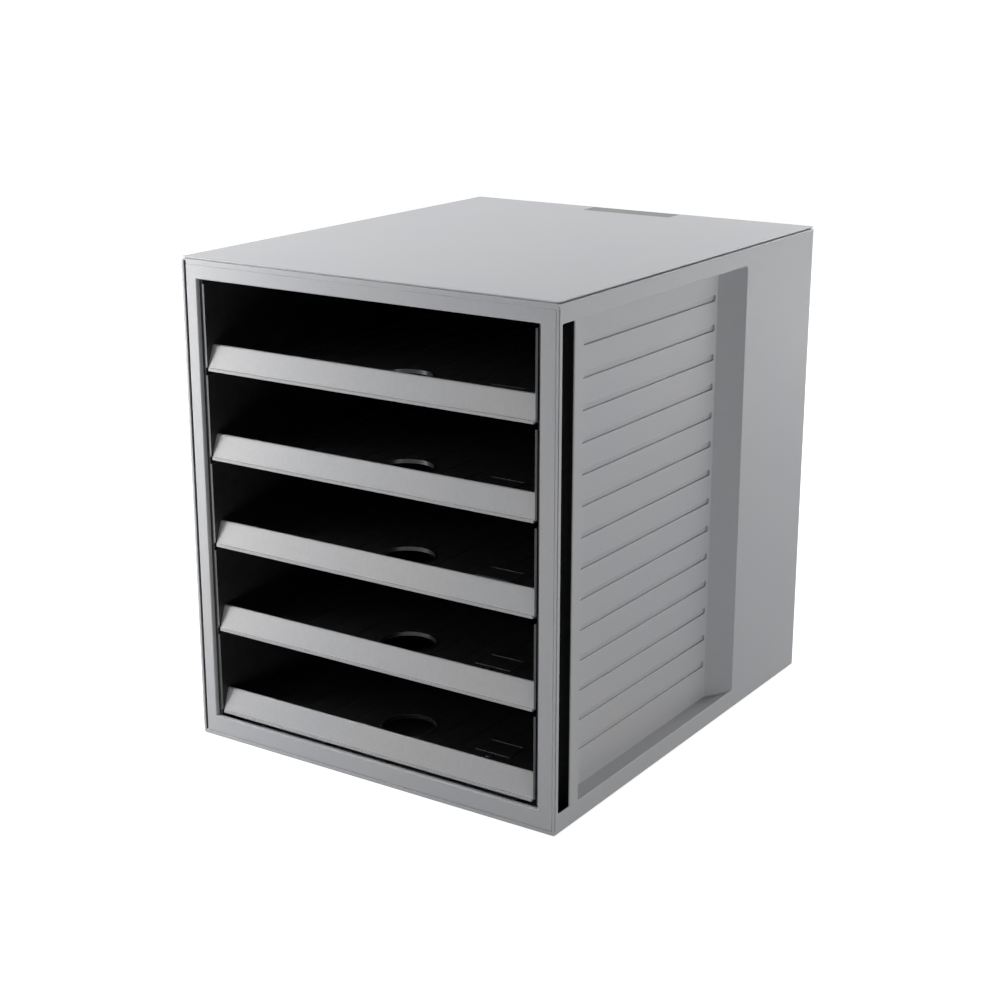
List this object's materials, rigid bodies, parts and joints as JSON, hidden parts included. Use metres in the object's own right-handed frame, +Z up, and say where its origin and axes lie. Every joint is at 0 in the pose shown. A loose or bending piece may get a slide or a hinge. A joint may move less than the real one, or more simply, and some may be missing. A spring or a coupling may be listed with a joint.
{
  "type": "desktop file drawer",
  "caption": "Desktop file drawer: light-grey plastic casing with grooved side recesses and open pull-out trays for papers, each with a leaning front lip and a finger hole.",
  "frame": {"origin": "bottom centre of the casing, on the surface that it stands on", "axes": "+Z up, the open fronts of the trays face -Y, +X is to the right of someone facing the front"},
  "size_m": [0.275, 0.33, 0.32],
  "materials": {
    "casing_grey": "satin",
    "tray_front_grey": "satin",
    "inner_black": "satin",
    "badge_grey": "satin",
    "foot_rubber": "matte"
  },
  "bodies": {
    "casing": {"top_panel": "casing_grey", "base_panel": "casing_grey", "rear_panel": "casing_grey", "left_side_panel": "casing_grey", "right_side_panel": "casing_grey", "front_frame": "casing_grey", "left_front_post": "inner_black", "right_front_post": "inner_black", "left_rear_post": "inner_black", "right_rear_post": "inner_black", "left_rail_1": "inner_black", "left_rail_2": "inner_black", "left_rail_3": "inner_black", "left_rail_4": "inner_black", "left_rail_5": "inner_black", "left_rail_6": "inner_black", "right_rail_1": "inner_black", "right_rail_2": "inner_black", "right_rail_3": "inner_black", "right_rail_4": "inner_black", "right_rail_5": "inner_black", "right_rail_6": "inner_black", "top_badge": "badge_grey", "foot_front_left": "foot_rubber", "foot_front_right": "foot_rubber", "foot_rear_left": "foot_rubber", "foot_rear_right": "foot_rubber"},
    "tray_unit_1": {"tray_1": "inner_black", "tray_front_1": "tray_front_grey"},
    "tray_unit_2": {"tray_2": "inner_black", "tray_front_2": "tray_front_grey"},
    "tray_unit_3": {"tray_3": "inner_black", "tray_front_3": "tray_front_grey"},
    "tray_unit_4": {"tray_4": "inner_black", "tray_front_4": "tray_front_grey"},
    "tray_unit_5": {"tray_5": "inner_black", "tray_front_5": "tray_front_grey"}
  },
  "joints": [
    {"name": "tray_1_slide", "type": "slide", "parent": "casing", "child": "tray_unit_1", "axis": [0, -1, 0], "range_m": [0, 0.235]},
    {"name": "tray_2_slide", "type": "slide", "parent": "casing", "child": "tray_unit_2", "axis": [0, -1, 0], "range_m": [0, 0.235]},
    {"name": "tray_3_slide", "type": "slide", "parent": "casing", "child": "tray_unit_3", "axis": [0, -1, 0], "range_m": [0, 0.235]},
    {"name": "tray_4_slide", "type": "slide", "parent": "casing", "child": "tray_unit_4", "axis": [0, -1, 0], "range_m": [0, 0.235]},
    {"name": "tray_5_slide", "type": "slide", "parent": "casing", "child": "tray_unit_5", "axis": [0, -1, 0], "range_m": [0, 0.235]}
  ]
}
